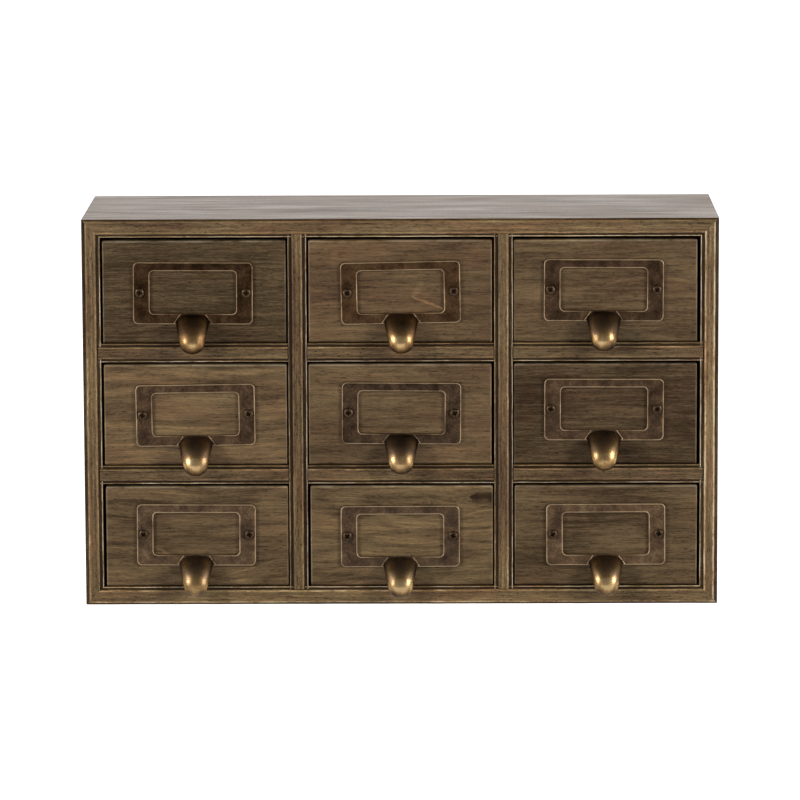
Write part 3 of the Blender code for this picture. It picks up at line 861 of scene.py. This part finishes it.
def frame_mesh():
    """The label frame as rings: up its outer edge, over one rim, across the flat, over the other rim, down.

    outer and inner list them as (distance from the frame's or the window's edge, Y, rub), in mm.
    """
    outer = (
        (0.00, -0.25, 0.0), (0.00, -1.30, 0.0), (0.10, -1.72, 0.30), (0.30, -2.00, 0.84), (0.52, -2.10, 0.86),
        (0.72, -2.02, 0.35), (0.88, -1.88, 0.05), (1.20, FLAT_Y / MM, 0.0),
    )
    inner = (
        (1.15, FLAT_Y / MM, 0.0), (0.86, -1.87, 0.05), (0.68, -2.01, 0.35), (0.50, -2.08, 0.80),
        (0.28, -2.00, 0.76), (0.08, -1.72, 0.20), (0.00, -1.30, 0.0), (0.00, -0.25, 0.0),
    )
    loops, rubs = [], []

    def add_loop(half_x, half_z, corner, rise, y, rub_and_light):
        loop = rounded_loop(half_x, half_z, corner, rise, y * MM)
        sides = [max(0.0, (abs(x) - half_x + corner) / corner) for x, _, _ in loop]
        loops.append(loop)
        # painted light: the level rims are painted brighter than the upright ones
        rubs.append([rub_and_light * (1 - UPRIGHT_RIM_SHADE * side) for side in sides])

    for inset, y, rub_and_light in outer:
        inset *= MM
        corner = max(0.4 * MM, FRAME_CORNER - inset)
        add_loop(FRAME_HALF_X - inset, FRAME_HALF_Z - inset, corner, 0.0, y, rub_and_light)
    for outset, y, rub_and_light in inner:
        outset *= MM
        add_loop(WINDOW_HALF_X + outset, WINDOW_HALF_Z + outset, WINDOW_CORNER + outset, WINDOW_RISE, y, rub_and_light)
    loops.append(loops[0])
    rubs.append(rubs[0])
    mesh = ring_mesh("label_frame", np.array(loops), capped=False)
    add_attribute(mesh, "rub_and_light", np.ravel(rubs))
    work = bmesh.new()
    work.from_mesh(mesh)
    bmesh.ops.remove_doubles(work, verts=work.verts, dist=1e-7)
    work.to_mesh(mesh)
    work.free()
    face_out(mesh)
    return mesh


def pull_point(turn, along):
    """A point on the pull's outer face. turn is -1 to 1 round its section, along 0 to 1 from root to tip."""
    end = max(0.0, (along - LIP_FROM) / (1 - LIP_FROM))
    if end > 0:
        angle = end * math.radians(LIP_TURN)
        back = LIP_CURL * (1 - math.cos(angle))
        centre = Vector((0, back - PULL_REACH, PULL_TURN_Z - LIP_CURL * math.sin(angle)))
        outward = Vector((0, -math.cos(angle), -math.sin(angle)))
    else:
        angle = along / LIP_FROM * math.pi / 2
        drop = PULL_ROOT_Z - PULL_TURN_Z
        forward = math.sin(angle) ** BACK_POWER
        upward = max(0.0, math.cos(angle)) ** BACK_POWER
        centre = Vector((0, -PULL_REACH * forward, PULL_TURN_Z + drop * upward))
        outward = Vector((0, -drop * math.sin(angle), PULL_REACH * math.cos(angle))).normalized()
    down = (PULL_ROOT_Z - centre.z) / (PULL_ROOT_Z - PULL_TIP_Z)
    half = HALF_MM - TAPER_MM * max(0.0, down) ** TAPER_POWER
    half -= TIP_ROUND_MM * (1 - math.sqrt(max(0.0, 1 - end**3)))
    crown = (CROWN_MM - CROWN_LOSS_MM * along) * MM
    side = math.copysign(math.sin(abs(turn) * math.pi / 2) ** SECTION_POWER, turn)
    sink = 1 - math.cos(abs(turn) * math.pi / 2) ** SECTION_POWER
    return centre + Vector((side * half * MM, 0, 0)) - outward * crown * sink


def hood_mesh():
    """The pull as a curved shell with a rounded rim."""
    work = bmesh.new()
    bmesh.ops.create_grid(work, x_segments=HOOD_GRID[0], y_segments=HOOD_GRID[1], size=1.0)
    for vertex in work.verts:
        along = 1 - (1 - (1 - vertex.co.y) / 2) ** ROW_GATHER
        vertex.co = pull_point(vertex.co.x * HOOD_TURN, along)
        vertex.co.y += FACE_Y
        if along < 1e-6:
            vertex.co.y = BURIED_Y
    bmesh.ops.recalc_face_normals(work, faces=work.faces)
    mesh = mesh_from(work, "hood_skin")
    facing = sum((face.normal.y for face in mesh.polygons))
    skin = new_object("hood_skin", mesh, None)
    shell = skin.modifiers.new("shell", "SOLIDIFY")
    shell.thickness = PULL_THICK
    shell.offset = -1.0 if facing < 0 else 1.0
    shell.use_even_offset = True
    rounds = skin.modifiers.new("rounds", "SUBSURF")
    rounds.levels = 2
    rounds.render_levels = 2
    shaped = evaluated_mesh(skin)
    face_out(shaped)
    return shaped


def evaluated_mesh(obj):
    bpy.context.view_layer.update()
    depsgraph = bpy.context.evaluated_depsgraph_get()
    mesh = bpy.data.meshes.new_from_object(obj.evaluated_get(depsgraph), depsgraph=depsgraph)
    bpy.data.objects.remove(obj)
    return mesh


def pull_wear_and_light(points, normals):
    """How rubbed each point of the pull is, with painted light in it: a painted reflection low down, painted
    shade at its root but for a thin rubbed line, and flanks painted darker or lighter by the way they face.
    """
    height = points[:, 2] / MM
    middle = np.interp(height, *zip(*MIDDLE_RUB_AND_LIGHT))
    # painted light: the flanks are painted darker or lighter by height, where they look partly sideways
    flank_light = np.interp(height, *zip(*FLANK_LIGHT))
    turned = np.abs(normals[:, 0])  # 0 down the middle, 1 where the face looks sideways
    flank = np.clip(1 - np.abs(turned - 0.45) / 0.35, 0, 1)
    # painted shade: faces that look sideways, away from the lamps, are painted darker
    edge = np.clip((turned - 0.62) / 0.2, 0, 1)
    ahead = FACE_Y - points[:, 1]  # how far the point is in front of the rims
    forward = np.clip(ahead / (7 * MM), 0, 1)
    # painted shade where the pull meets the frame
    painted_shade = 0.28 * np.clip(ahead / (0.8 * MM), 0, 1) * (1 - forward)
    line = np.clip(1 - np.abs(ahead - 0.25 * MM) / (0.35 * MM), 0, 1)
    return forward * (middle + flank_light * flank - 0.35 * edge) - painted_shade + 0.5 * line


def bead_mesh(side):
    """The rim's thin bead where it runs down beside the pull's root, from the window to the outer rim."""
    start = Vector((side * BEAD_HIGH[0], FLAT_Y, BEAD_HIGH[1]))
    end = Vector((side * BEAD_LOW[0], FLAT_Y, BEAD_LOW[1]))
    across = Vector((end.z - start.z, 0, start.x - end.x)).normalized()
    backward = Vector((0, 1, 0))
    rings = []
    for step in range(BEAD_RINGS):
        middle = start.lerp(end, step / (BEAD_RINGS - 1))
        turns = [turn * math.tau / BEAD_SIDES for turn in range(BEAD_SIDES)]
        ring = [middle + BEAD_RADIUS * (across * math.cos(t) + backward * math.sin(t)) for t in turns]
        rings.append([tuple(point) for point in ring])
    mesh = ring_mesh("bead", np.array(rings))
    add_attribute(mesh, "rub_and_light", np.full(len(mesh.vertices), BEAD_RUB))
    add_attribute(mesh, "edge", np.ones(len(mesh.vertices)))
    face_out(mesh)
    return mesh


def joined_pull_mesh():
    """The frame and the pull as one casting, with its two beads."""
    plate = new_object("plate", frame_mesh(), None)
    hood = hood_mesh()
    plate_points, hood_points = read_points(plate.data), read_points(hood)
    rims = np.empty(len(plate_points), np.float32)
    plate.data.attributes["rub_and_light"].data.foreach_get("value", rims)
    hood_normals = np.array([vertex.normal for vertex in hood.vertices])
    hood_wear_and_light = pull_wear_and_light(hood_points, hood_normals)
    tool = new_object("hood_tool", hood, None)
    union = plate.modifiers.new("union", "BOOLEAN")
    union.operation = "UNION"
    union.solver = "EXACT"
    union.object = tool
    mesh = evaluated_mesh(plate)
    bpy.data.objects.remove(tool)
    # Each point of the casting takes its wear and painted light from the nearest point of the two shapes it
    # was made from.
    points = np.concatenate([plate_points, hood_points])
    on_hood = np.arange(len(points)) >= len(plate_points)
    wear_and_light = np.concatenate([rims, hood_wear_and_light])
    tree = kdtree.KDTree(len(points))
    for index, point in enumerate(points):
        tree.insert(point, index)
    tree.balance()
    nearest = np.array([tree.find(vertex.co)[1] for vertex in mesh.vertices])
    mesh.attributes.remove(mesh.attributes["rub_and_light"])
    add_attribute(mesh, "rub_and_light", wear_and_light[nearest])
    add_attribute(mesh, "edge", 1.0 - on_hood[nearest])
    work = bmesh.new()
    for part in (mesh, bead_mesh(-1), bead_mesh(1)):
        work.from_mesh(part)
    work.to_mesh(mesh)
    work.free()
    return mesh


def hardware_place(place):
    """The label frame's place on its drawer front, and its tilt, from where its two screws are."""
    low_a, high_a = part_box(f"screw_a_{place}")
    low_b, high_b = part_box(f"screw_b_{place}")
    screw_a = (low_a + high_a) / 2
    screw_b = (low_b + high_b) / 2
    tilt = math.atan2(screw_b.z - screw_a.z, screw_b.x - screw_a.x)
    turn = Matrix.Rotation(-tilt, 4, "Y")
    front_low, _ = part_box(f"front_{place}")
    middle = (screw_a + screw_b) / 2
    middle.y = front_low.y
    centre = middle - turn @ Vector((0, 0, SCREW_RISE))
    return Matrix.Translation(centre) @ turn


# How each frame's bronze differs from the rest: brighter or darker, and how warm.
METAL_LOOKS = {
    "top_left": (-0.13, 1.0), "top_middle": (-0.03, 1.0), "top_right": (-0.06, 0.5),
    "centre_left": (0.0, 0.3), "centre_middle": (-0.055, 0.2), "centre_right": (0.0, 0.3),
    "bottom_left": (0.07, 0.0), "bottom_middle": (0.03, 0.0), "bottom_right": (0.09, 0.15),
}


def add_pull(place, shape, metal, seed):
    mesh = shape.copy()
    mesh.name = f"pull_{place}"
    for name, value in zip(("tone", "warm"), METAL_LOOKS[place]):
        add_attribute(mesh, name, np.full(len(mesh.vertices), value))
    add_attribute(mesh, "place", read_points(mesh) + np.array([seed * 0.9, 0.0, seed * 0.4], np.float32))
    pull = new_object(f"pull_{place}_shown", mesh, metal)
    pull.matrix_world = hardware_place(place)
    mesh.shade_smooth()
    mesh.set_sharp_from_angle(angle=math.radians(55))
    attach(pull, f"drawer_{place}")
    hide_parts(f"pull_{place}")


# ---------------- screws
# The screw in section, as (radius, Y) in mm: the low dome of its head, then its shank
SCREW_HEAD = ((0.0, -3.30), (0.9, -3.30), (1.7, -3.27), (2.25, -3.20), (2.55, -3.08), (2.76, -2.92),
              (2.90, -2.74), (2.96, -2.58), (2.96, -2.42))
SCREW_SHANK = ((1.3, -2.42), (1.3, 2.0))
SCREW_SIDES = 40
SLOT_SIZE = (4.1 * MM, 2.4 * MM, 0.95 * MM)  # each slot's length, the depth of its cutter, and its width
SLOT_Y = -3.2 * MM
SLOT_TAPER = 0.6  # the length of a slot's floor, as a share of its mouth's
SLOT_SHADE = -0.45  # the slots are painted dark: painted shade in the recess, and dirt
HEAD_RUB = ((0.8, -0.02), (1.6, 0.04), (2.4, 0.06), (2.8, 0.02))  # (distance from the middle in mm, rub)


def slot_cutter(name):
    work = bmesh.new()
    bmesh.ops.create_cube(work, size=1.0, matrix=Matrix.Diagonal((*SLOT_SIZE, 1.0)))
    for vertex in work.verts:
        if vertex.co.y > 0:
            vertex.co.x *= SLOT_TAPER
    cutter = new_object(name, mesh_from(work, name), None)
    cutter.location = (0, SLOT_Y, 0)
    return cutter


def screw_mesh():
    """A cross-head screw: a low dome with a thin rim. Its head faces -Y."""
    turns = [side * 2 * math.pi / SCREW_SIDES for side in range(SCREW_SIDES)]
    rings = []
    for radius, y in SCREW_HEAD[1:] + SCREW_SHANK:
        rings.append([(radius * MM * math.cos(t), y * MM, radius * MM * math.sin(t)) for t in turns])
    mesh = ring_mesh("screw", np.array(rings))
    face_out(mesh)
    head = new_object("screw_head", mesh, None)
    cutters = []
    for turn in (0, 90):
        cutter = slot_cutter(f"slot_{turn}")
        cutter.rotation_euler = (0, math.radians(turn), 0)
        cut = head.modifiers.new(f"slot_{turn}", "BOOLEAN")
        cut.operation = "DIFFERENCE"
        cut.solver = "EXACT"
        cut.object = cutter
        cutters.append(cutter)
    made = evaluated_mesh(head)
    for cutter in cutters:
        bpy.data.objects.remove(cutter)
    points = read_points(made)
    radius = np.hypot(points[:, 0], points[:, 2])
    top = np.interp(radius / MM, *zip(*SCREW_HEAD)) * MM
    rub_and_light = np.interp(radius / MM, *zip(*HEAD_RUB))
    # painted shade and dirt in the slots
    rub_and_light[(points[:, 1] > top + 0.05 * MM) & (radius < 2.5 * MM)] = SLOT_SHADE
    add_attribute(made, "rub_and_light", rub_and_light)
    return made


def add_screws(place, shape, metal, dice):
    front_low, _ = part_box(f"front_{place}")
    for side in ("a", "b"):
        low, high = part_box(f"screw_{side}_{place}")
        mesh = shape.copy()
        mesh.name = f"screw_{side}_{place}"
        mesh.transform(Matrix.Rotation(dice.uniform(0, math.pi / 2), 4, "Y"))
        add_attribute(mesh, "place", read_points(mesh) + np.float32(dice.uniform(0, 9)))
        screw = new_object(f"screw_{side}_{place}_shown", mesh, metal)
        screw.location = ((low.x + high.x) / 2, front_low.y, (low.z + high.z) / 2)
        mesh.shade_smooth()
        mesh.set_sharp_from_angle(angle=math.radians(45))
        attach(screw, f"drawer_{place}")
        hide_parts(f"screw_{side}_{place}")


# ---------------- the whole object
def add_drawers():
    dice = random.Random(11)
    pull_shape = joined_pull_mesh()
    screw_shape = screw_mesh()
    brass = antique_brass("antique_brass")
    bronze = screw_bronze("screw_bronze")
    pale = ((0.0, srgb(150, 112, 74)), (0.5, srgb(196, 160, 116)), (1.0, srgb(222, 192, 150)))
    box_wood = plain_wood("drawer_wood", pale, 3.1)
    for row, row_name in enumerate(ROWS):
        for column, column_name in enumerate(COLUMNS):
            place = f"{row_name}_{column_name}"
            seed = 41 + row * 3 + column
            add_front(place, seed)
            add_box(place, box_wood, seed)
            add_pull(place, pull_shape, brass, seed)
            add_screws(place, screw_shape, bronze, dice)


# ---------------- studio
def add_floor():
    """White to the camera. It glows faintly by itself, and more in what the brass and the wax mirror."""
    work = bmesh.new()
    bmesh.ops.create_grid(work, x_segments=1, y_segments=1, size=6.0)
    g = MaterialGraph("floor_white")
    g.close((0.80, 0.80, 0.80, 1.0), 0.7)
    g.shader.inputs["Emission Color"].default_value = (1.0, 1.0, 1.0, 1.0)
    glow = g.remap(g.light_rays("Glossy"), 0.0, 1.0, 0.05, 0.27)
    g.put(g.shader.inputs["Emission Strength"], g.math("MAXIMUM", glow, g.light_rays("Camera")))
    floor = new_object("floor", mesh_from(work, "floor"), g.material)
    floor.location = (0, 0, -0.2 * MM)


def add_softbox(name, place, size, power):
    light = bpy.data.lights.new(name, "AREA")
    light.shape = "RECTANGLE"
    light.size, light.size_y = size
    light.energy = power
    lamp = bpy.data.objects.new(name, light)
    bpy.context.scene.collection.objects.link(lamp)
    lamp.location = place
    target = Vector((0, FRONT_Y, HEIGHT / 2))
    lamp.rotation_mode = "QUATERNION"
    lamp.rotation_quaternion = (target - lamp.location).to_track_quat("-Z", "Y")


def add_world():
    """White to the camera. As light, bright low down behind the cabinet, dim overhead and in front."""
    world = bpy.data.worlds.new("studio")
    world.use_nodes = True
    g = Graph(world.node_tree)
    back = g.tree.nodes["Background"]
    _, behind, overhead = g.split(g.node("TexCoord").outputs["Generated"])
    behind = g.remap(behind, -0.3, 0.7, 0.24, 1.5)
    level = g.multiply(behind, g.remap(overhead, 0.35, 0.80, 1.0, 0.12))
    seen = g.light_rays("Camera")
    g.put(back.inputs["Strength"], g.remap(seen, 0.0, 1.0, level, 1.0))
    g.put(back.inputs["Color"], g.mix(seen, (1.0, 0.94, 0.90, 1.0), (1.0, 1.0, 1.0, 1.0)))
    bpy.context.scene.world = world


def add_camera():
    """A long lens in front and a little above, fitted to the case's corners in the photo."""
    pitch, yaw, roll = math.radians(8.89), math.radians(-0.54), math.radians(-0.25)
    ahead = Vector((math.sin(yaw) * math.cos(pitch), math.cos(yaw) * math.cos(pitch), -math.sin(pitch)))
    right = Vector((math.cos(yaw), -math.sin(yaw), 0))
    up = right.cross(ahead)
    tilted_right = right * math.cos(roll) + up * math.sin(roll)
    tilted_up = up * math.cos(roll) - right * math.sin(roll)
    data = bpy.data.cameras.new("camera")
    data.lens = 227.2
    data.sensor_width = 36.0
    data.clip_start = 0.1
    data.clip_end = 50.0
    camera = bpy.data.objects.new("camera", data)
    bpy.context.scene.collection.objects.link(camera)
    turned = Matrix((tilted_right, tilted_up, -ahead)).transposed().to_4x4()
    place = Vector((0.073 * WIDTH, FRONT_Y - 7.854 * WIDTH, 1.556 * WIDTH))
    camera.matrix_world = Matrix.Translation(place) @ turned
    bpy.context.scene.camera = camera


add_camera()
add_world()
add_floor()
add_softbox("softbox_right", (1.70, -1.50, 0.80), (0.55, 0.60), 40)
add_softbox("softbox_left", (-1.70, -1.50, 0.80), (0.55, 0.60), 36)
bpy.context.scene.view_settings.view_transform = "Standard"
add_case()
add_drawers()
